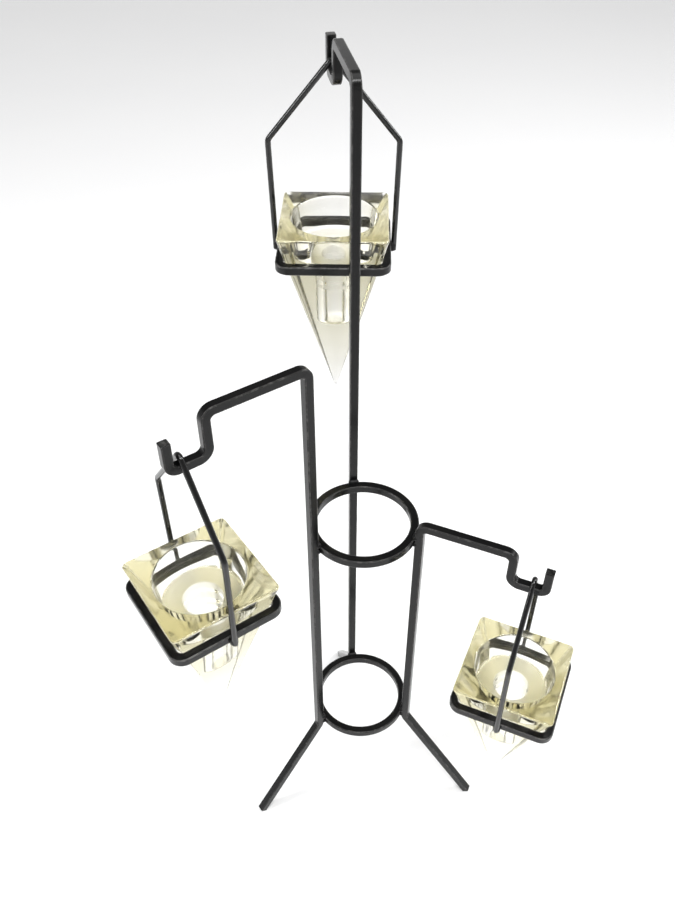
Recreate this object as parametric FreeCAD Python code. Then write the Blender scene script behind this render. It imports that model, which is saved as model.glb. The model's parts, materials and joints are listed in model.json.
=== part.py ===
import FreeCAD, Part

import math
import os

# A votive candle rack: three bent square-bar rods stand outside two rings, and a glass cup in a
# square bar frame hangs by a wire bail from the hook at the end of each rod's arm.
# Millimetres, +Z up. The origin is on the floor, on the axis of the two rings.

Vector = FreeCAD.Vector
UP = Vector(0, 0, 1)

# ---- rods, all bent from one size of square bar ----
bar = 5.2                  # side of the square bar, painted
bar_edge = 0.6             # softened long edges of every bar
arm_height = {"tall": 515.0, "middle": 396.0, "short": 277.0}   # centre of each arm above the floor
azimuth = {"tall": 90.0, "middle": 205.5, "short": 327.5}       # direction of each arm
knee_height = 73.0         # corner where the post turns into the leg
leg_splay = 37.2           # leg's lean from the vertical, degrees
arm_reach = {"tall": 55.0, "middle": 57.5, "short": 56.5}       # post to riser
riser_drop = {"tall": 20.0, "middle": 26.5, "short": 23.0}      # arm down to trough
trough_reach = 21.3        # riser to tip
tip_rise = 17.8            # trough up to the cut end of the tip
knee_bend = 5.5            # bend radii, on the bar's centreline
top_bend = 4.6
step_bend = 5.0
dip_bend = 5.6
tip_bend = 4.4

# ---- rings ----
ring_outer = 34.0          # outer radius, where the posts stand
ring_below_arm = 12.5      # middle of the upper ring below the short arm
ring_above_knee = 5.0      # middle of the lower ring above the knees
ring_weld = 2.0            # leg of the bead between a ring and a post
ring_weld_run = 1.4        # half of the bead's straight run

# ---- hanging frame and bail; the frame is bent from the rods' bar ----
wire = 3.3                 # bail wire diameter
wire_gap = 0.1             # between the bail and the corners of the bar it hangs on
hang_reach = {"tall": 14.3, "middle": 15.0, "short": 13.6}      # riser to bail, along the trough
hang_turn = {"tall": -11.0, "middle": 0.0, "short": 0.0}       # turn of each hanger on its hook
roof_slope = 50.0          # slope of the bail's roof, degrees
shoulder_out = 1.25        # bail's shoulder outside its foot
crown_bend = 2.8
shoulder_bend = 4.5
frame_bend = 2.8           # inner corner radius of the square frame
frame_drop = 98.4          # top of the trough down to the top of the frame
foot_overhang = 0.8        # bail foot below the frame
foot_weld = 2.1
foot_weld_run = 1.3

# ---- glass cup: an inverted square pyramid with a wide and a narrow well ----
cup_wall = 6.75            # top face, from the mouth of the well to the middle of a side
cup_rise = 15.628          # top face above the frame
cup_depth = 126.0          # top face to where the four walls would meet
cup_corner = 3.5           # corner radius of the top face
cup_tip = 1.8              # side of the blunt tip
cup_rim = 1.1              # softened edge of the top face
cup_gap = 0.15             # between the cup and the frame it sits in
well_mouth = 25.5          # radius of the wide well at the top face
well_floor = 23.2          # and at its floor
well_depth = 19.0
well_lip = 1.2
well_heel = 2.0
socket_radius = 11.25      # straight taper socket under the wide well
socket_depth = 48.0
socket_lip = 0.8
socket_heel = 3.0

# what follows from them: the candle sizes the cup, the cup its frame, and the frame its bail
post_radius = ring_outer + bar / 2
ring_height = {"upper": arm_height["short"] - ring_below_arm, "lower": knee_height + ring_above_knee}
cup_side = 2 * (well_mouth + cup_wall)
frame_inner = cup_side + 2 * cup_gap - cup_rise * cup_side / cup_depth
frame_side = frame_inner + 2 * bar


def unit(a, b):
    """Direction from a to b."""
    return (b - a).normalize()


def turned_left(d):
    """The direction d turned a quarter left, in the XZ plane."""
    return Vector(-d.z, 0, d.x)


def turn_sign(d0, d1):
    return 1 if d0.x * d1.z - d0.z * d1.x > 0 else -1


def half_turn(d0, d1):
    return math.acos(max(-1.0, min(1.0, d0.dot(d1)))) / 2


def shifted(points, offset):
    """The open path through points, moved sideways to the left by offset."""
    moved = []
    for i, p in enumerate(points):
        before = turned_left(unit(points[i - 1], p)) if i > 0 else None
        after = turned_left(unit(p, points[i + 1])) if i < len(points) - 1 else None
        if before is None or after is None:
            moved.append(p + (before or after) * offset)
        else:
            moved.append(p + (before + after) * (offset / (1 + before.dot(after))))
    return moved


def bent_edges(points, radii):
    """Edges of the open path through points, with an arc of the given radius at each inner corner."""
    edges = []
    start = points[0]
    for i in range(1, len(points) - 1):
        d0 = unit(points[i - 1], points[i])
        d1 = unit(points[i], points[i + 1])
        half = half_turn(d0, d1)
        radius = radii[i - 1]
        run = radius * math.tan(half)
        a = points[i] - d0 * run
        b = points[i] + d1 * run
        out = (d0 - d1).normalize()
        middle = points[i] - out * (radius / math.cos(half) - radius)
        edges.append(Part.LineSegment(start, a).toShape())
        edges.append(Part.Arc(a, middle, b).toShape())
        start = b
    edges.append(Part.LineSegment(start, points[-1]).toShape())
    return edges


def bent_bar(points, radii, size, edge_radius):
    """Square bar bent in the XZ plane along points, with softened edges and square-cut ends."""
    sides = []
    for offset in (size / 2, -size / 2):
        side_radii = []
        for i in range(1, len(points) - 1):
            sign = turn_sign(unit(points[i - 1], points[i]), unit(points[i], points[i + 1]))
            side_radii.append(radii[i - 1] - sign * offset)
        sides.append((shifted(points, offset), side_radii))
    (left, left_radii), (right, right_radii) = sides
    edges = bent_edges(left, left_radii)
    edges.append(Part.LineSegment(left[-1], right[-1]).toShape())
    edges += bent_edges(right, right_radii)
    edges.append(Part.LineSegment(right[0], left[0]).toShape())
    outline = Part.Wire(Part.__sortEdges__(edges))
    solid = Part.Face(outline).extrude(Vector(0, size, 0))
    solid.translate(Vector(0, -size / 2, 0))
    cut_corners = [left[0], left[-1], right[0], right[-1]]
    softened = []
    for edge in solid.Edges:
        ends = [v.Point for v in edge.Vertexes]
        across = abs(ends[0].y - ends[-1].y) > size / 2
        flat = Vector(ends[0].x, 0, ends[0].z)
        if not across or min(flat.distanceToPoint(c) for c in cut_corners) < 1e-6:
            softened.append(edge)
    return solid.makeFillet(edge_radius, softened)


def rounded_square(side, radius, z):
    """Closed wire of a square with rounded corners, at height z."""
    h = side / 2
    k = h - radius
    m = h - radius * (1 - math.sqrt(0.5))
    edges = []
    for turn in range(4):
        run = Part.LineSegment(Vector(h, -k, z), Vector(h, k, z)).toShape()
        arc = Part.Arc(Vector(h, k, z), Vector(m, m, z), Vector(k, h, z)).toShape()
        for edge in (run, arc):
            edge.rotate(Vector(0, 0, z), UP, 90 * turn)
            edges.append(edge)
    return Part.Wire(edges)


def circle_edges(solid, radius, z):
    """The solid's circular edges of this radius about its own axis, at height z."""
    found = []
    for edge in solid.Edges:
        curve = edge.Curve
        if isinstance(curve, Part.Circle) and abs(curve.Radius - radius) < 1e-6:
            if abs(curve.Center.z - z) < 1e-6:
                found.append(edge)
    return found


def rod(name):
    """A rod in the XZ plane: leg, post, arm, riser, trough and tip."""
    slope = math.radians(90 - leg_splay)
    heel = bar / 2 * math.cos(slope) - bar_edge * (math.sin(slope) + math.cos(slope) - 1)
    leg = (knee_height - heel) / math.sin(slope)
    height = arm_height[name]
    riser = post_radius + arm_reach[name]
    trough = height - riser_drop[name]
    foot = Vector(post_radius + leg * math.cos(slope), 0, knee_height - leg * math.sin(slope))
    points = [
        foot,
        Vector(post_radius, 0, knee_height),
        Vector(post_radius, 0, height),
        Vector(riser, 0, height),
        Vector(riser, 0, trough),
        Vector(riser + trough_reach, 0, trough),
        Vector(riser + trough_reach, 0, trough + tip_rise),
    ]
    return bent_bar(points, [knee_bend, top_bend, step_bend, dip_bend, tip_bend], bar, bar_edge)


def ring(height):
    """Square bar rolled into a ring."""
    profile = Part.Face(rounded_square(bar, bar_edge, 0))
    profile.rotate(Vector(), Vector(1, 0, 0), 90)
    profile.translate(Vector(ring_outer - bar / 2, 0, height))
    return profile.revolve(Vector(), UP, 360)


def capsule(centre, direction, radius, half_run):
    """Rounded bead: a cylinder with a ball at each end."""
    start = centre - direction * half_run
    body = Part.makeCylinder(radius, 2 * half_run, start, direction)
    ends = [Part.makeSphere(radius, start), Part.makeSphere(radius, centre + direction * half_run)]
    return body.fuse(ends).removeSplitter()


def ring_bead(height, pieces):
    """Weld above and below a ring, in the corner that it makes with the post at +X."""
    beads = []
    for side in (1, -1):
        corner = Vector(ring_outer, 0, height + side * bar / 2)
        bead = capsule(corner, Vector(0, 1, 0), ring_weld, ring_weld_run).cut(pieces)
        beads += bead.Solids
    return Part.makeCompound(beads)


def wire_corner():
    """Height of the bail roof's sharp corner above the trough, and its hinge height.

    The roof's two slopes clear the softened top corners of the bar by wire_gap where the hanger is
    turned furthest, and the wire swings about the two points of its centreline nearest to them."""
    slope = math.radians(roof_slope)
    turn = math.radians(max(abs(t) for t in hang_turn.values()))
    reach = bar_edge + wire / 2 + wire_gap
    inset = bar / 2 - bar_edge
    level = math.cos(slope) * math.cos(turn)
    across = math.hypot(math.sin(slope), level)
    crown = (reach * across + inset * math.sin(slope)) / level - bar_edge
    return crown, reach * level / across - bar_edge


crown_height, hinge_height = wire_corner()


def bail():
    """Wire bail in the YZ plane, with the top of the trough at height 0."""
    foot_y = frame_side / 2 + wire / 2
    shoulder_y = foot_y + shoulder_out
    shoulder_z = crown_height - shoulder_y * math.tan(math.radians(roof_slope))
    foot_z = -frame_drop - bar - foot_overhang
    half = [Vector(foot_y, 0, foot_z), Vector(shoulder_y, 0, shoulder_z)]
    points = half + [Vector(0, 0, crown_height)] + [Vector(-p.x, 0, p.z) for p in reversed(half)]
    path = Part.Wire(bent_edges(points, [shoulder_bend, crown_bend, shoulder_bend]))
    start = Part.Circle(points[0], unit(points[0], points[1]), wire / 2).toShape()
    solid = path.makePipeShell([Part.Wire(start)], True, False)
    solid.rotate(Vector(), UP, 90)
    return solid


def frame():
    """Square bar frame, its top face frame_drop below the trough."""
    top = -frame_drop
    outer = Part.Face(rounded_square(frame_side, frame_bend + bar, top - bar))
    inner = Part.Face(rounded_square(frame_inner, frame_bend, top - bar))
    solid = outer.cut(inner).extrude(Vector(0, 0, bar))
    level = [e for e in solid.Edges if abs(e.BoundBox.ZLength) < 1e-6]
    return solid.makeFillet(bar_edge, level)


def foot_beads(pieces):
    """Small welds at both sides of each bail foot, against the frame's outer faces."""
    middle = -frame_drop - bar / 2
    beads = []
    for side in (1, -1):
        centre = Vector(0, side * (frame_side / 2 + 0.1 * wire), middle)
        beads += capsule(centre, UP, foot_weld, foot_weld_run).cut(pieces).Solids
    return Part.makeCompound(beads)


def cup():
    """Glass cup. Its wall is cup_gap clear of the frame's inner top edge."""
    top = -frame_drop + cup_rise
    tip_z = top - cup_depth * (1 - cup_tip / cup_side)
    tip_corner = cup_corner * cup_tip / cup_side
    wires = [rounded_square(cup_side, cup_corner, top), rounded_square(cup_tip, tip_corner, tip_z)]
    solid = Part.makeLoft(wires, True, True)
    rim = [e for e in solid.Edges if abs(e.BoundBox.ZMin - top) < 1e-6 and e.BoundBox.ZLength < 1e-6]
    solid = solid.makeFillet(cup_rim, rim)
    floor = top - well_depth
    well = Part.makeCone(well_floor, well_mouth, well_depth, Vector(0, 0, floor))
    socket = Part.makeCylinder(socket_radius, socket_depth, Vector(0, 0, floor - socket_depth))
    solid = solid.cut(well.fuse(socket).removeSplitter())
    for radius, z, soft in (
        (well_mouth, top, well_lip),
        (well_floor, floor, well_heel),
        (socket_radius, floor, socket_lip),
        (socket_radius, floor - socket_depth, socket_heel),
    ):
        solid = solid.makeFillet(soft, circle_edges(solid, radius, z))
    return solid


def placed(shape, name, radius=0.0, height=0.0, turn=0.0):
    """A copy of shape turned on its own axis, moved out along +X and up, and carried to its arm."""
    copy = shape.copy()
    copy.rotate(Vector(), UP, turn)
    copy.translate(Vector(radius, 0, height))
    copy.rotate(Vector(), UP, azimuth[name])
    return copy


def build():
    rings = {level: ring(height) for level, height in ring_height.items()}
    nodes = {"ring_" + level: shape for level, shape in rings.items()}
    hanging = {"frame": frame(), "bail": bail(), "cup": cup()}
    hanging["weld_bail"] = foot_beads([hanging["frame"], hanging["bail"]])
    for name in arm_height:
        bent = rod(name)
        nodes["rod_" + name] = placed(bent, name)
        for level, shape in rings.items():
            bead = ring_bead(ring_height[level], [shape, bent])
            nodes["weld_" + level + "_" + name] = placed(bead, name)
        hook_radius = post_radius + arm_reach[name] + hang_reach[name]
        trough_top = arm_height[name] - riser_drop[name] + bar / 2
        for piece, shape in hanging.items():
            nodes[piece + "_" + name] = placed(shape, name, hook_radius, trough_top, hang_turn[name])
    return nodes


os.makedirs("parts", exist_ok=True)
for node, shape in build().items():
    box = shape.BoundBox
    print(node, shape.isValid(), len(shape.Solids), "%.1f mm3" % shape.Volume,
          "z %.2f to %.2f" % (box.ZMin, box.ZMax))
    shape.exportStep("parts/" + node + ".step")
print("hinge %.3f mm above the trough, crown %.3f mm" % (hinge_height, crown_height))
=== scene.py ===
# %% [markdown]
# # A votive candle rack
#
# Three rods are bent from square bar and welded outside two rings. Each rod ends in a hook, and
# from each hook a square frame hangs on a wire bail and carries a glass cup shaped like an
# upside-down pyramid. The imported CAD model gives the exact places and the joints. This script
# makes each piece again with the surface that bending, welding and pressing leave on the real one,
# and gives it its finish. Everything is in metres, in the same frame as the CAD model.

import json
import math

import bmesh
import bpy
from mathutils import Matrix, Vector, noise


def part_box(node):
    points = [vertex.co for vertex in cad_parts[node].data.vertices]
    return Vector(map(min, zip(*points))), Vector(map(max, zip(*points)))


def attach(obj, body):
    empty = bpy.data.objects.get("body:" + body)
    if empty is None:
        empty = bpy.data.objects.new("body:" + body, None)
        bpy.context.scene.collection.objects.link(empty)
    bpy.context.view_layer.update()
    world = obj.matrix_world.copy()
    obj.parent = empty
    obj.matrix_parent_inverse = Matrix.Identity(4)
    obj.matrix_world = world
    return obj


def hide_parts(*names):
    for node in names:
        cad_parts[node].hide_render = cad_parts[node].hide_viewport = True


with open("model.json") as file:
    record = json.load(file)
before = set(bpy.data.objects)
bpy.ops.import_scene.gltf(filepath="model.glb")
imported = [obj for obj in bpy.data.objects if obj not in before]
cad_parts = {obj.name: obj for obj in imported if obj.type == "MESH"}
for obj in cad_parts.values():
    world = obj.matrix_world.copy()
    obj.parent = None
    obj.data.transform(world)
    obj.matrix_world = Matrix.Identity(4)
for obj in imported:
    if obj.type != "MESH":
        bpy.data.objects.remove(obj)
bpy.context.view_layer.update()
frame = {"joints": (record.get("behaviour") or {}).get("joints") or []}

# %% [markdown]
# ## Where things are
#
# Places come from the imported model. Each swing joint lies where a bail rests on its hook, so its
# position and axis say where a hanger is and which way it faces, and a node's box says how high
# its piece reaches. Only the sizes of the stock, the bends and the glass are written here.

# %% Read the places of the hooks
UP = Vector((0, 0, 1))
MM = 0.001
NAMES = ("tall", "middle", "short")
BAR = 5.2 * MM
BAR_EDGE = 0.6 * MM
WIRE = 3.3 * MM
HINGE_RISE = 0.894 * MM      # swing axis above the top of the trough

swings = {j["child"]: j for j in frame["joints"] if j["type"] == "hinge"}
hook = {}
across = {}
for name in NAMES:
    swing = swings["hanger_" + name]
    hook[name] = Vector(swing["pos_m"]) - UP * HINGE_RISE
    across[name] = Vector(swing["axis"]).normalized()
    print(name, "bail rests at", [round(v / MM, 1) for v in hook[name]], "mm")

# %% [markdown]
# ## Writing shader maths as sums
#
# A finish is mostly small sums on masks and noises. A class that holds one socket and knows how to
# add and multiply keeps those sums readable, because each operator adds the Math node that it
# needs. Any other node comes from one method, `node`, that takes its type, its settings and its
# inputs.

# %% A socket that can be added and multiplied


class Signal:
    """A value in a finish: the output socket of a node."""

    def __init__(self, finish, socket):
        self.finish = finish
        self.socket = socket

    def _sum(self, operation, a, b):
        return self.finish.node("ShaderNodeMath", {"operation": operation}, {0: a, 1: b})

    def __add__(self, other):
        return self._sum("ADD", self, other)

    __radd__ = __add__

    def __sub__(self, other):
        return self._sum("SUBTRACT", self, other)

    def __rsub__(self, other):
        return self._sum("SUBTRACT", other, self)

    def __mul__(self, other):
        return self._sum("MULTIPLY", self, other)

    __rmul__ = __mul__


print("a signal can be added, subtracted and multiplied")

# %% A finish built node by node


class Finish:
    """A material, or the world, whose nodes are added one by one."""

    def __init__(self, name, kind=bpy.data.materials):
        self.made = kind.new(name)
        self.made.use_nodes = True
        self.tree = self.made.node_tree

    def node(self, kind, settings=None, inputs=None, out=0):
        """Add a node. Its settings are set first, then its inputs are given values or links."""
        made = self.tree.nodes.new(kind)
        for key, value in (settings or {}).items():
            setattr(made, key, value)
        for key, value in (inputs or {}).items():
            self.feed(made.inputs[key], value)
        return Signal(self, made.outputs[out])

    def feed(self, socket, value):
        if isinstance(value, Signal):
            self.tree.links.new(value.socket, socket)
        else:
            socket.default_value = value

    def set(self, shader, values):
        for key, value in values.items():
            self.feed(self.tree.nodes[shader].inputs[key], value)

    def noise(self, size, detail, roughness):
        """Cloudy noise whose features are about `size` metres across."""
        place = self.node("ShaderNodeTexCoord", out="Object")
        inputs = {"Vector": place, "Scale": 1 / size, "Detail": detail, "Roughness": roughness}
        return self.node("ShaderNodeTexNoise", inputs=inputs)

    def rise(self, signal, low, high):
        """0 where the signal is below low, 1 above high, and smooth between."""
        settings = {"interpolation_type": "SMOOTHSTEP"}
        return self.node("ShaderNodeMapRange", settings, {0: signal, 1: low, 2: high})

    def mix(self, factor, a, b):
        """Colour a where the factor is 0 and colour b where it is 1."""
        return self.node("ShaderNodeMix", {"data_type": "RGBA"}, {0: factor, 6: a, 7: b}, out=2)

    def relief(self, height, depth):
        """A surface normal for relief `depth` metres high."""
        return self.node("ShaderNodeBump", inputs={"Height": height, "Distance": depth})


print("shader helpers ready")

# %% [markdown]
# ## Satin black paint on iron
#
# The rack is sprayed satin black after welding. Real spray has three scales of detail: a fine
# orange peel in the gloss, slow clouds where the coat is thicker or has been handled, and edges
# where it is thin and has rubbed to grey. The grey along the edges is also a painted highlight,
# standing in for the bright lines that light lays on the softened corners. One function makes the
# paint, and its arguments set how glossy a group of pieces is and how grey its edges are. The
# edges come from the mesh: each bar stores 1 along its corners in an attribute, which is surer
# than asking the renderer how sharp a corner is.

# %% Make the paints
CLOUD_SIZE, PEEL_SIZE, SCUFF_SIZE = 25 * MM, 0.7 * MM, 4 * MM
PEEL_DEPTH = 0.015 * MM
FRESH_TONE, DUSTY_TONE = (1.0, 1.0, 1.05), (1.7, 1.68, 1.6)
# the grey of the edges: paint rubbed thin, and a painted highlight along the corners
WORN_AND_HIGHLIGHT_GREY = (0.13, 0.128, 0.124, 1)
EVEN_WEAR_AND_HIGHLIGHT = 0.3              # the share of the grey edges, rubbed paint and painted highlight, that scuffs don't break up
CLOUD_HAZE, SCUFF_HAZE, EDGE_POLISH = 0.10, 0.05, 0.06
PAINT_IOR = 1.45


def black_paint(name, shade, gloss, mirror, wear_and_highlight):
    """Satin black spray paint. The mesh attribute `edge` is 1 along a bar's corners.

    shade is how dark a fresh coat is, gloss its least roughness, mirror the strength of its
    reflections, and the last how grey its edges are: rubbed paint and a painted highlight."""
    paint = Finish(name)
    clouds = paint.noise(CLOUD_SIZE, 4, 0.55)
    peel = paint.noise(PEEL_SIZE, 2, 0.5)
    scuffs = paint.noise(SCUFF_SIZE, 5, 0.7)
    edge = paint.node("ShaderNodeAttribute", {"attribute_name": "edge"}, out="Fac")
    scuffed = paint.rise(scuffs, 0.46, 0.62)
    # greys the edges, partly as rubbed paint and partly as a painted highlight along the corners
    worn_and_highlit = edge * (EVEN_WEAR_AND_HIGHLIGHT + (1 - EVEN_WEAR_AND_HIGHLIGHT) * scuffed) * wear_and_highlight
    dust = paint.rise(clouds, 0.4, 0.7)
    fresh, dusty = ((*(shade * part for part in tone), 1) for tone in (FRESH_TONE, DUSTY_TONE))
    paint.set("Principled BSDF", {
        "Base Color": paint.mix(worn_and_highlit, paint.mix(dust, fresh, dusty), WORN_AND_HIGHLIGHT_GREY),
        "Roughness": gloss + CLOUD_HAZE * clouds + SCUFF_HAZE * scuffs - EDGE_POLISH * edge,
        "IOR": PAINT_IOR,
        "Specular IOR Level": mirror,
        "Normal": paint.relief(peel + 0.5 * scuffs, PEEL_DEPTH),
    })
    return paint.made


# the last argument of each paint sets its grey edges: rubbed paint and a painted highlight
rack_paint = black_paint("rack paint", shade=0.0028, gloss=0.13, mirror=0.27, wear_and_highlight=0.4)
hanger_paint = black_paint("hanger paint", shade=0.0032, gloss=0.12, mirror=0.32, wear_and_highlight=0.6)
wire_paint = black_paint("wire paint", shade=0.004, gloss=0.03, mirror=0.62, wear_and_highlight=0.0)
bead_paint = black_paint("bead paint", shade=0.004, gloss=0.28, mirror=0.25, wear_and_highlight=0.0)
print("paints:", rack_paint.name, hanger_paint.name, wire_paint.name, bead_paint.name)

# %% [markdown]
# ## Straw-tinted pressed glass
#
# The cups are thick glass with a faint straw colour that only shows where light goes a long way
# through it. So the surface is clear and the colour is in the volume, where it deepens with depth
# by itself. Pressing leaves the glass very slightly wavy, which breaks up what is seen through it,
# and leaves the floor of the well matt. The mesh says where it is matt, in an attribute `frost`.

# %% Make the glass
STRAW, STRAW_DENSITY = (0.62, 0.555, 0.12, 1), 15.0
GLASS_IOR = 1.5
RIPPLE_SIZE, CHILL_SIZE = 11 * MM, 2.6 * MM
RIPPLE_DEPTH, CHILL_SHARE = 0.03 * MM, 0.08
POLISH, FROST_HAZE, CHILL_HAZE = 0.04, 0.45, 0.02

glass = Finish("straw glass")
ripples = glass.noise(RIPPLE_SIZE, 1, 0.4)
chill = glass.noise(CHILL_SIZE, 2, 0.5)
frost = glass.node("ShaderNodeAttribute", {"attribute_name": "frost"}, out="Fac")
glass.set("Principled BSDF", {
    "Base Color": (1, 1, 1, 1),
    "Roughness": POLISH + FROST_HAZE * frost + CHILL_HAZE * chill,
    "IOR": GLASS_IOR,
    "Transmission Weight": 1.0,
    "Normal": glass.relief(ripples + CHILL_SHARE * chill, RIPPLE_DEPTH),
})
tint = glass.node("ShaderNodeVolumeAbsorption",
                  inputs={"Color": STRAW, "Density": STRAW_DENSITY})
glass.tree.links.new(tint.socket, glass.tree.nodes["Material Output"].inputs["Volume"])
cup_glass = glass.made
print("glass:", cup_glass.name)

# %% [markdown]
# ## Lines with bends in them
#
# Bars, rings, frames and bails are all stock of one section that follows a line with bends in it.
# Blender could bevel a curve, but its bevel can't change the section in a bend, and that is what
# gives bent bar away: the inside of a cold bend swells sideways and the outside thins. So one
# small function lays stations along the line, each with its direction and the way to the centre of
# its bend. The sections are lists of points round a bar and round a wire.

# %% Lay the stations of a bent line
ARC_STEP = math.radians(9)


def stations(corners, radii):
    """Stations of a line with an arc at each inner corner.

    A station is its point, its direction, and the way to its bend's centre."""
    laid = [(corners[0], (corners[1] - corners[0]).normalized(), Vector())]
    for before, corner, after, radius in zip(corners, corners[1:], corners[2:], radii):
        arriving = (corner - before).normalized()
        leaving = (after - corner).normalized()
        turn = arriving.angle(leaving)
        axis = arriving.cross(leaving).normalized()
        start = corner - arriving * radius * math.tan(turn / 2)
        centre = start + axis.cross(arriving) * radius
        count = max(2, math.ceil(turn / ARC_STEP))
        for i in range(count + 1):
            spin = Matrix.Rotation(turn * i / count, 3, axis)
            along = spin @ arriving
            bend = axis.cross(along) * math.sin(math.pi * i / count)
            laid.append((centre + spin @ (start - centre), along, bend))
    laid.append((corners[-1], (corners[-1] - corners[-2]).normalized(), Vector()))
    return laid


test_bend = stations([Vector((0, 0, 0)), Vector((1, 0, 0)), Vector((1, 1, 0))], [0.1])
print("a line with one square bend has", len(test_bend), "stations")

# %% The sections of bar and wire
EDGE_STEPS = 4               # facets round a softened corner
EDGE_LAND = 0.3 * MM         # flat beside a corner, where the grey of rubbed paint and painted highlight fades out
WIRE_ROUND = 24


def bar_section():
    """Points round a square bar: (x, y, edge). edge is 1 on the softened corners."""
    inner = BAR / 2 - BAR_EDGE
    points = []
    for quarter in range(4):
        turn = Matrix.Rotation(quarter * math.pi / 2, 2)
        side = [(Vector((BAR / 2, y)), 0.0) for y in (EDGE_LAND - inner, inner - EDGE_LAND)]
        for i in range(EDGE_STEPS + 1):
            t = math.pi / 2 * i / EDGE_STEPS
            corner = Vector((inner + BAR_EDGE * math.cos(t), inner + BAR_EDGE * math.sin(t)))
            side.append((corner, 1.0))
        points += [(*(turn @ p), edge) for p, edge in side]
    return points


def wire_section():
    """Points round a wire, with no edge on it."""
    turns = [2 * math.pi * i / WIRE_ROUND for i in range(WIRE_ROUND)]
    return [(WIRE / 2 * math.cos(t), WIRE / 2 * math.sin(t), 0.0) for t in turns]


print("a bar has", len(bar_section()), "points round it, a wire", len(wire_section()))

# %% [markdown]
# ## From rows of points to a piece
#
# Every piece here is rows of points with a skin over them, so one function makes all the meshes. A
# skin can come out inside out, which paint hides and glass doesn't, so its signed volume is
# measured and the faces are turned over if it is negative. Smooth shading with normals weighted by
# face area keeps the flats flat and lets only the softened corners look round.

# %% Skin rows of points into a piece
SHARP_ANGLE = math.radians(40)
FLAT_WEIGHT = 100            # how much more the large faces count in the normals


def skin(name, strips, paint, marks=None, closed=False):
    """One smooth piece over strips of rows. Each row is a loop, and open strips are capped.

    marks is a name and one value per point, for the finish to read."""
    points, faces = [], []
    for rows in strips:
        size, first = len(rows[0]), len(points)
        for i in range(len(rows) if closed else len(rows) - 1):
            a, b = first + i * size, first + (i + 1) % len(rows) * size
            for j in range(size):
                k = (j + 1) % size
                faces.append((a + j, a + k, b + k, b + j))
        points += [p for row in rows for p in row]
        if not closed:
            faces.append(tuple(range(first, first + size))[::-1])
            faces.append(tuple(range(len(points) - size, len(points))))
    mesh = bpy.data.meshes.new(name)
    mesh.from_pydata(points, [], faces)
    form = bmesh.new()
    form.from_mesh(mesh)
    if form.calc_volume(signed=True) < 0:
        bmesh.ops.reverse_faces(form, faces=form.faces)
        form.to_mesh(mesh)
    form.free()
    mesh.shade_smooth()
    mesh.set_sharp_from_angle(angle=SHARP_ANGLE)
    if marks:
        label, values = marks
        mesh.attributes.new(label, "FLOAT", "POINT").data.foreach_set("value", values)
    mesh.materials.append(paint)
    piece = bpy.data.objects.new(name, mesh)
    bpy.context.scene.collection.objects.link(piece)
    even = piece.modifiers.new("even normals", "WEIGHTED_NORMAL")
    even.weight = FLAT_WEIGHT
    even.keep_sharp = True
    return piece


print("corners sharper than", round(math.degrees(SHARP_ANGLE)), "degrees stay sharp")

# %% [markdown]
# ## Sweeping stock along a line
#
# A sweep sets the section up at each station. Inside a bend it is made wider and outside narrower,
# and at a cut end it steps in a little over the last fraction of a millimetre, as a bar does when
# its burr has been filed off. Every finished piece then rides on its body and stands for its node.

# %% Sweep a section, and stand a piece in for its node
END_BURR = 0.3 * MM


def sweep(name, line, section, side, paint, closed=False, swell=0.0):
    """Stock of one section along a flat line. side is square to the line's plane."""
    rows = []
    for point, along, bend in line:
        out = along.cross(side)
        row = []
        for x, y, _ in section:
            inner = out.dot(bend) * x / (BAR / 2)
            row.append(point + out * x + side * y * (1 + swell * inner))
        rows.append(row)
    if not closed:
        for end, inward in ((0, 1), (-1, -1)):
            point, along, _ = line[end]
            face = [point + (p - point) * (1 - 2 * END_BURR / BAR) for p in rows[end]]
            rows[end] = [p + along * END_BURR * inward for p in rows[end]]
            rows.insert(0 if end == 0 else len(rows), face)
    edges = [edge for _, _, edge in section] * len(rows)
    return skin(name, [rows], paint, ("edge", edges), closed)


def stand_for(piece, body, node):
    """Let a piece ride on its body in place of a CAD node."""
    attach(piece, body)
    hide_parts(node)
    low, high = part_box(node)
    print(piece.name, "on", body, "node size in mm:", [round(v / MM, 1) for v in high - low])


print("cut ends are filed back", round(END_BURR / MM, 1), "mm")

# %% [markdown]
# ## The rods
#
# Each rod is one bar: a splayed leg, a post, an arm, and a hook made of a riser, a trough and a
# tip. Its line lies in one upright plane through the axis of the rings, so it is a list of
# distances from that axis and heights, with a bend radius for each inner corner. The leg is cut
# square, so the middle of its end stands above the floor by what puts the lower corner of the cut
# on it.

# %% Bend the rods
RING_OUTER = 34.0 * MM
POST = RING_OUTER + BAR / 2
KNEE_HEIGHT = 73.0 * MM
LEG_SPLAY = 37.2             # degrees from upright
LEG_SLOPE = math.radians(90 - LEG_SPLAY)
TROUGH_REACH = 21.3 * MM
TIP_RISE = 17.8 * MM
HANG_REACH = {"tall": 14.3 * MM, "middle": 15.0 * MM, "short": 13.6 * MM}
ROD_BENDS = [5.5 * MM, 4.6 * MM, 5.0 * MM, 5.6 * MM, 4.4 * MM]
BEND_SWELL = 0.07

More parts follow.
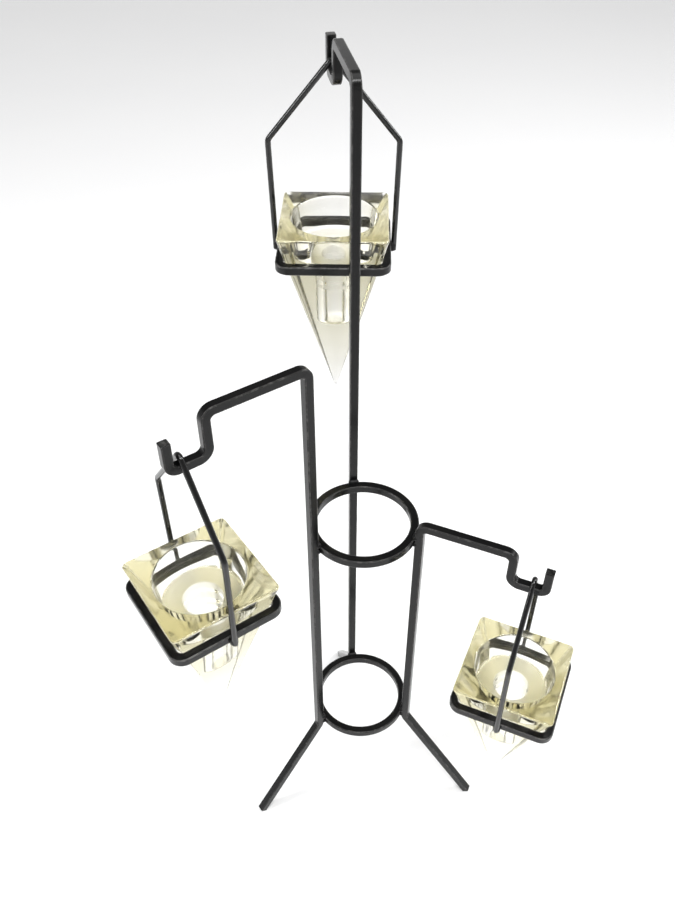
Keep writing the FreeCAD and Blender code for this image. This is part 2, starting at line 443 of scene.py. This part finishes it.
outward = {name: Vector((hook[name].x, hook[name].y, 0)).normalized() for name in NAMES}
soft_corner = BAR_EDGE * (math.sin(LEG_SLOPE) + math.cos(LEG_SLOPE) - 1)
heel = BAR / 2 * math.cos(LEG_SLOPE) - soft_corner
foot = POST + (KNEE_HEIGHT - heel) / math.tan(LEG_SLOPE)
for name in NAMES:
    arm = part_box("rod_" + name)[1].z - BAR / 2
    trough = hook[name].z - BAR / 2
    riser = hook[name].to_2d().length - HANG_REACH[name]
    tip = riser + TROUGH_REACH
    route = [(foot, heel), (POST, KNEE_HEIGHT), (POST, arm), (riser, arm), (riser, trough),
             (tip, trough), (tip, trough + TIP_RISE)]
    line = stations([outward[name] * out + UP * height for out, height in route], ROD_BENDS)
    rod = sweep("bent_rod_" + name, line, bar_section(), UP.cross(outward[name]), rack_paint,
                swell=BEND_SWELL)
    stand_for(rod, "rack", "rod_" + name)

# %% [markdown]
# ## The rings
#
# A ring is the same bar rolled round a former and closed with a butt weld, so a section carried
# round a circle is all there is to it. The rings hold the three posts together.

# %% Roll the rings
RING_STEPS = 96
for level in ("upper", "lower"):
    low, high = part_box("ring_" + level)
    line = []
    for i in range(RING_STEPS):
        spin = Matrix.Rotation(2 * math.pi * i / RING_STEPS, 3, "Z")
        place = spin @ Vector((RING_OUTER - BAR / 2, 0, 0)) + UP * (low.z + high.z) / 2
        line.append((place, spin @ Vector((0, 1, 0)), Vector()))
    ring = sweep("rolled_ring_" + level, line, bar_section(), UP, rack_paint, closed=True)
    stand_for(ring, "rack", "ring_" + level)

# %% [markdown]
# ## The weld beads
#
# A short bead of weld is a row of puddles that froze one after another, so it is rippled across
# its length, a little lumpy, and rounded at both ends. A lathe form with ripples along its axis
# gives that. Most of it is buried in the corner that it fills, as weld metal is. Each ring has one
# above and one below at each post.

# %% The rows of a bead
BEAD_ROWS, BEAD_ROUND = 26, 20
PUDDLE, PUDDLE_RELIEF = 0.9 * MM, 0.07
LUMP_SIZE, LUMP_RELIEF = 1.6 * MM, 0.12


def bead(centre, direction, radius, half_run):
    """Rows of a rippled bead that ends in two rounds."""
    half = half_run + radius
    sideways = direction.orthogonal().normalized()
    rows = []
    for i in range(BEAD_ROWS):
        along = -half * math.cos(math.pi * (i + 0.5) / BEAD_ROWS)
        past = max(0.0, abs(along) - half_run)
        ripple = 1 - PUDDLE_RELIEF * abs(math.sin(math.pi * along / PUDDLE))
        width = math.sqrt(max(0.0, radius ** 2 - past ** 2)) * ripple
        row = []
        for j in range(BEAD_ROUND):
            spoke = Matrix.Rotation(2 * math.pi * j / BEAD_ROUND, 3, direction) @ sideways
            place = (centre + direction * along + spoke * radius) / LUMP_SIZE
            lump = 1 - LUMP_RELIEF * abs(noise.noise(place))
            row.append(centre + direction * along + spoke * width * lump)
        rows.append(row)
    return rows


print("a bead has", BEAD_ROWS, "rows of", BEAD_ROUND, "points")

# %% Lay the beads at the rings
RING_BEAD, RING_BEAD_RUN = 1.95 * MM, 1.4 * MM
for name in NAMES:
    for level in ("upper", "lower"):
        low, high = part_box("ring_" + level)
        corners = [outward[name] * RING_OUTER + UP * z for z in (high.z, low.z)]
        sideways = UP.cross(outward[name])
        beads = [bead(corner, sideways, RING_BEAD, RING_BEAD_RUN) for corner in corners]
        weld = skin("bead_%s_%s" % (level, name), beads, bead_paint)
        stand_for(weld, "rack", "weld_%s_%s" % (level, name))

# %% [markdown]
# ## The hanging frames
#
# The square frame that holds a cup is the same bar again, bent at four corners and closed in the
# middle of one side. It turns with its hanger, so its sides follow the swing axis.

# %% Bend the frames
FRAME_SIDE = 67.2 * MM
FRAME_BEND = 5.4 * MM
facing = {name: UP.cross(across[name]) for name in NAMES}

for name in NAMES:
    low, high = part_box("frame_" + name)
    middle = Vector((hook[name].x, hook[name].y, (low.z + high.z) / 2))
    half = (FRAME_SIDE - BAR) / 2
    out, along = facing[name] * half, across[name] * half
    corners = [middle + out, middle + out + along, middle - out + along, middle - out - along,
               middle + out - along, middle + out]
    line = stations(corners, [FRAME_BEND] * 4)[:-1]
    side = (corners[1] - corners[0]).cross(corners[2] - corners[1]).normalized()
    hoop = sweep("bent_frame_" + name, line, bar_section(), side, hanger_paint, closed=True,
                 swell=BEND_SWELL)
    stand_for(hoop, "hanger_" + name, "frame_" + name)

# %% [markdown]
# ## The bails
#
# A bail is round wire: a tight crown that rests on the hook, two roof slopes, and two legs that
# end outside the frame. Wire this thin keeps its section in a bend, so nothing swells.

# %% Bend the bails
CROWN_RISE = 5.524 * MM      # the unrounded crown above the top of the trough
ROOF_SLOPE = math.radians(50)
FOOT_OUT = (FRAME_SIDE + WIRE) / 2
SHOULDER_OUT = FOOT_OUT + 1.25 * MM
BAIL_BENDS = [4.5 * MM, 2.8 * MM, 4.5 * MM]

for name in NAMES:
    shoulder = CROWN_RISE - SHOULDER_OUT * math.tan(ROOF_SLOPE)
    foot_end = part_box("bail_" + name)[0].z - hook[name].z
    route = [(FOOT_OUT, foot_end), (SHOULDER_OUT, shoulder), (0, CROWN_RISE),
             (-SHOULDER_OUT, shoulder), (-FOOT_OUT, foot_end)]
    corners = [hook[name] + across[name] * out + UP * height for out, height in route]
    line = stations(corners, BAIL_BENDS)
    bail = sweep("bent_bail_" + name, line, wire_section(), facing[name], wire_paint)
    stand_for(bail, "hanger_" + name, "bail_" + name)

# %% [markdown]
# ## The beads at the bails' feet
#
# Each leg of a bail is welded to the outside of its frame. Here the bead runs upright along the
# wire, and the metal has sagged a little before it froze, so it sits lower than the frame's
# middle.

# %% Lay the beads at the feet of the bails
FOOT_BEAD, FOOT_BEAD_RUN = 2.5 * MM, 0.9 * MM
BEAD_SAG = 0.9 * MM
BEAD_REACH = FRAME_SIDE / 2 + 0.25 * WIRE
for name in NAMES:
    low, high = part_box("frame_" + name)
    middle = Vector((hook[name].x, hook[name].y, (low.z + high.z) / 2)) - UP * BEAD_SAG
    reach = across[name] * BEAD_REACH
    beads = [bead(middle + reach * way, UP, FOOT_BEAD, FOOT_BEAD_RUN) for way in (1, -1)]
    weld = skin("bead_bail_" + name, beads, bead_paint)
    stand_for(weld, "hanger_" + name, "weld_bail_" + name)

# %% [markdown]
# ## The loops of a glass cup
#
# A cup is an upside-down pyramid of pressed glass with a wide round well for a votive, and a
# narrow straight socket under it for a taper. Its mesh is a set of level loops: round ones up the
# inside, then across the top face they change from a circle to a square with soft corners, and
# square ones go down the walls to the tip. One rule for a loop does both, because a circle is a
# square whose corner radius is half its side. All loops have their points in the same directions,
# close together at the corners, so the skin between them doesn't twist.

# %% One level loop
CUP_SIDE, CUP_CORNER = 64.5 * MM, 3.5 * MM
SIDE_POINTS, CORNER_POINTS = 28, 8

corner_turn = math.atan2(CUP_SIDE / 2 - CUP_CORNER, CUP_SIDE / 2)
corner_width = math.pi / 2 - 2 * corner_turn
side_turns = [corner_turn * (2 * i / SIDE_POINTS - 1) for i in range(SIDE_POINTS)]
soft_turns = [corner_turn + corner_width * i / CORNER_POINTS for i in range(CORNER_POINTS)]
LOOP_TURNS = [quarter * math.pi / 2 + t for quarter in range(4) for t in side_turns + soft_turns]


def loop(half, corner, height):
    """A level square loop with rounded corners, one point in each direction of LOOP_TURNS."""
    points = []
    for t in LOOP_TURNS:
        x, y = math.cos(t), math.sin(t)
        a, b = max(abs(x), abs(y)), min(abs(x), abs(y))
        k = half - corner
        reach = half / a
        if reach * b > k:
            m = k * (a + b)
            reach = m + math.sqrt(max(0.0, m ** 2 - 2 * k * k + corner * corner))
        points.append(Vector((x * reach, y * reach, height)))
    return points


print("a loop has", len(LOOP_TURNS), "points")

# %% [markdown]
# ## The outline of a cup
#
# The inside is a line with bends in it, so `stations` lays it too: the socket's floor and side,
# its lip, the well's floor and side, and the well's lip. The outside is the rim's round and then a
# straight wall. The matt floor of the well gets the most frost, and the rest has only a trace.

# %% The inside line of a cup
WELL_MOUTH, WELL_FLOOR, WELL_DEPTH = 25.5 * MM, 23.2 * MM, 19.0 * MM
WELL_LIP, WELL_HEEL = 1.2 * MM, 2.0 * MM
SOCKET, SOCKET_DEPTH = 11.25 * MM, 48.0 * MM
SOCKET_LIP, SOCKET_HEEL = 0.8 * MM, 3.0 * MM
POLE = 0.5 * MM              # the innermost loop, in the middle of the socket's floor
TOP_START = 3.0 * MM         # how far the line goes out onto the top face
LOOP_GAP = 3.0 * MM


def spaced(points):
    """The same line with more points on its long runs."""
    line = [points[0]]
    for a, b in zip(points, points[1:]):
        count = max(1, math.ceil((b - a).length / LOOP_GAP))
        line += [a.lerp(b, (i + 1) / count) for i in range(count)]
    return line


def inside_line():
    """The well and socket, from the middle of the socket's floor up to the top face."""
    bottom = -WELL_DEPTH - SOCKET_DEPTH
    corners = [(POLE, bottom), (SOCKET, bottom), (SOCKET, -WELL_DEPTH),
               (WELL_FLOOR, -WELL_DEPTH), (WELL_MOUTH, 0), (WELL_MOUTH + TOP_START, 0)]
    corners = [Vector((x, 0, z)) for x, z in corners]
    bends = stations(corners, [SOCKET_HEEL, SOCKET_LIP, WELL_HEEL, WELL_LIP])
    return spaced([point for point, _, _ in bends])


print("the inside of a cup has", len(inside_line()), "loops")

# %% All the loops of a cup
CUP_DEPTH, CUP_TIP = 126.0 * MM, 1.8 * MM
RIM_ROUND, RIM_STEPS = 1.1 * MM, 8
TOP_STEPS = 4
FLOOR_TOLERANCE = 0.1 * MM
FLOOR_FROST, INSIDE_FROST, TOP_FROST, RIM_FROST, WALL_FROST = 1.0, 0.0, 0.18, 0.0, 0.1


def cup_loops():
    """The loops of a cup, with its top face at height 0: (half, corner, height, frost)."""
    loops = []
    for p in inside_line():
        on_floor = p.z < -WELL_DEPTH + FLOOR_TOLERANCE and p.x > SOCKET
        loops.append((p.x, p.x, p.z, FLOOR_FROST if on_floor else INSIDE_FROST))
    lean = math.atan2(CUP_SIDE / 2, CUP_DEPTH)
    rim = CUP_SIDE / 2 - RIM_ROUND * (1 + math.sin(lean)) / math.cos(lean)
    start = loops[-1][0]
    for i in range(1, TOP_STEPS):
        half = start + (rim - start) * i / TOP_STEPS
        square = CUP_CORNER - (CUP_SIDE / 2 - rim)
        loops.append((half, half + (square - half) * i / TOP_STEPS, 0.0, TOP_FROST))
    for i in range(RIM_STEPS + 1):
        t = math.pi / 2 - (math.pi / 2 + lean) * i / RIM_STEPS
        half = rim + RIM_ROUND * math.cos(t)
        corner = CUP_CORNER - (CUP_SIDE / 2 - half)
        loops.append((half, corner, RIM_ROUND * (math.sin(t) - 1), RIM_FROST))
    top = 1 + loops[-1][2] / CUP_DEPTH
    tip = CUP_TIP / CUP_SIDE
    count = math.ceil(CUP_DEPTH / LOOP_GAP)
    for i in range(1, count + 1):
        scale = top + (tip - top) * i / count
        height = -CUP_DEPTH * (1 - scale)
        loops.append((CUP_SIDE / 2 * scale, CUP_CORNER * scale, height, WALL_FROST))
    return loops


print("a cup has", len(cup_loops()), "loops")

# %% [markdown]
# ## Pressing the cups
#
# Pressing and fire-polishing leave the faces slightly wavy, so every point is moved by a few
# hundredths of a millimetre of smooth noise, read at three places for its three directions. The
# ready-made noise vector would be shorter to write, but it changes each time Blender starts, and
# these cups have to come out the same each time. The round inside is smoother than the flat faces,
# because the plunger that made it was turned. Each cup takes its waves from another part of the
# noise, so that no two are alike, and nothing is let above the level of the top face.

# %% Press the cups
WAVE_SIZE = 9 * MM
FACE_WAVE, INSIDE_WAVE = 0.09 * MM, 0.01 * MM
NEXT_CUP = Vector((7.3, 0, 0))
WAVE_SHIFTS = [Vector((0, 0, 0)), Vector((0, 31.4, 0)), Vector((0, 0, 53.8))]

for number, name in enumerate(NAMES):
    top = Vector((hook[name].x, hook[name].y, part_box("cup_" + name)[1].z))
    turn = Matrix((facing[name], UP.cross(facing[name]), UP)).transposed()
    rows = []
    frosting = []
    for half, corner, height, worked in cup_loops():
        depth = INSIDE_WAVE if corner == half else FACE_WAVE
        row = []
        for point in loop(half, corner, height):
            place = point / WAVE_SIZE + NEXT_CUP * number
            wave = Vector([noise.noise(place + shift) for shift in WAVE_SHIFTS])
            point = point + wave * depth
            point.z = min(point.z, 0.0)
            row.append(top + turn @ point)
        rows.append(row)
        frosting += [worked] * len(row)
    cup = skin("pressed_cup_" + name, [rows], cup_glass, ("frost", frosting))
    stand_for(cup, "cup_" + name, "cup_" + name)

# %% [markdown]
# ## The floor
#
# The rack stands on a plain pale floor. It is made so wide that its edge is far behind the rack
# from any side, and very faintly clouded so that it isn't one flat colour.

# %% Lay the floor
FLOOR_SIZE = 30.0
FLOOR_CLOUD = 0.35
FLOOR_SHADES = (0.90, 0.90, 0.905, 1), (0.93, 0.93, 0.93, 1)

edge = FLOOR_SIZE / 2
floor_mesh = bpy.data.meshes.new("floor")
floor_corners = [(-edge, -edge, 0), (edge, -edge, 0), (edge, edge, 0), (-edge, edge, 0)]
floor_mesh.from_pydata(floor_corners, [], [(0, 1, 2, 3)])
floor = bpy.data.objects.new("floor", floor_mesh)
bpy.context.scene.collection.objects.link(floor)
ground = Finish("pale floor")
ground.set("Principled BSDF", {
    "Base Color": ground.mix(ground.noise(FLOOR_CLOUD, 3, 0.5), *FLOOR_SHADES),
    "Roughness": 0.85,
    "Specular IOR Level": 0.2,
})
floor_mesh.materials.append(ground.made)
print("floor is", FLOOR_SIZE, "m square")

# %% [markdown]
# ## The light
#
# Black paint and clear glass show little but what they mirror, so the light is mostly a matter of
# what stands round them. The room is dim, with a bright patch straight overhead and pale cloth
# round the sides low down. The patch whitens the floor evenly with hardly a shadow. Bars mirror
# the dim room on their level faces, the cloth on their upright ones and the patch on their
# softened edges. A wide softbox in front and above lights the rack as a whole, and two narrow ones
# at the sides lay highlights along the wires.

# %% Light the room
ROOM_DIM, PATCH_BRIGHT, CLOTH_BRIGHT = 0.22, 2.5, 0.55
PATCH_FROM, PATCH_FULL = 0.86, 0.97      # heights of a direction: 0 is level, 1 is overhead
CLOTH_FULL, CLOTH_END = 0.15, 0.50

room = Finish("studio", bpy.data.worlds)
direction = room.node("ShaderNodeTexCoord", out="Generated")
height = room.node("ShaderNodeSeparateXYZ", inputs={0: direction}, out="Z")
patch = room.rise(height, PATCH_FROM, PATCH_FULL)
cloth = 1 - room.rise(height, CLOTH_FULL, CLOTH_END)
light = ROOM_DIM + PATCH_BRIGHT * patch + CLOTH_BRIGHT * cloth
room.set("Background", {"Color": (1, 1, 1, 1), "Strength": light})
bpy.context.scene.world = room.made
print("room, patch and cloth are at", ROOM_DIM, PATCH_BRIGHT, CLOTH_BRIGHT)

# %% Hang the softboxes


def softbox(name, place, target, width, height, power):
    """A rectangular lamp at a place, turned to a target."""
    lamp = bpy.data.lights.new(name, "AREA")
    lamp.shape = "RECTANGLE"
    lamp.size = width
    lamp.size_y = height
    lamp.energy = power
    holder = bpy.data.objects.new(name, lamp)
    bpy.context.scene.collection.objects.link(holder)
    holder.location = place
    aim = Vector(target) - Vector(place)
    holder.rotation_euler = aim.to_track_quat("-Z", "Y").to_euler()
    print(name, power, "W at", place)


RACK_MIDDLE = (0, 0, 0.25)
softbox("overhead softbox", (0.1, -0.75, 1.65), (0.05, 0.1, 0), width=1.2, height=0.22, power=18)
softbox("left softbox", (-1.3, -0.2, 1.1), RACK_MIDDLE, width=0.14, height=0.9, power=10)
softbox("right softbox", (1.3, 0.1, 1.2), RACK_MIDDLE, width=0.14, height=0.9, power=13)

# %% [markdown]
# ## The camera
#
# It looks down from in front, a little to the left of the rings' axis, with a short lens held
# close.

# %% Set up the camera
CAMERA_PLACE = Vector((-0.07034, -0.35651, 0.64825))
HEADING, PITCH, ROLL = (math.radians(v) for v in (8.743, 41.737, 0.442))
LENS, SENSOR, NEAREST = 34.488, 36.0, 0.01

lens = bpy.data.cameras.new("camera")
lens.lens = LENS
lens.sensor_width = SENSOR
lens.clip_start = NEAREST
camera = bpy.data.objects.new("camera", lens)
bpy.context.scene.collection.objects.link(camera)
bpy.context.scene.camera = camera
aim = Matrix.Rotation(-HEADING, 4, "Z") @ Matrix.Rotation(math.pi / 2 - PITCH, 4, "X")
camera.matrix_world = Matrix.Translation(CAMERA_PLACE) @ aim @ Matrix.Rotation(-ROLL, 4, "Z")
sight = camera.matrix_world.to_3x3() @ Vector((0, 0, -1))
print("camera looks along", [round(v, 3) for v in sight])

# %% [markdown]
# ## Finish
#
# The room is shown with plain display values, because a filmic curve would grey the white floor.

# %% Finish
bpy.context.scene.view_settings.view_transform = "Standard"
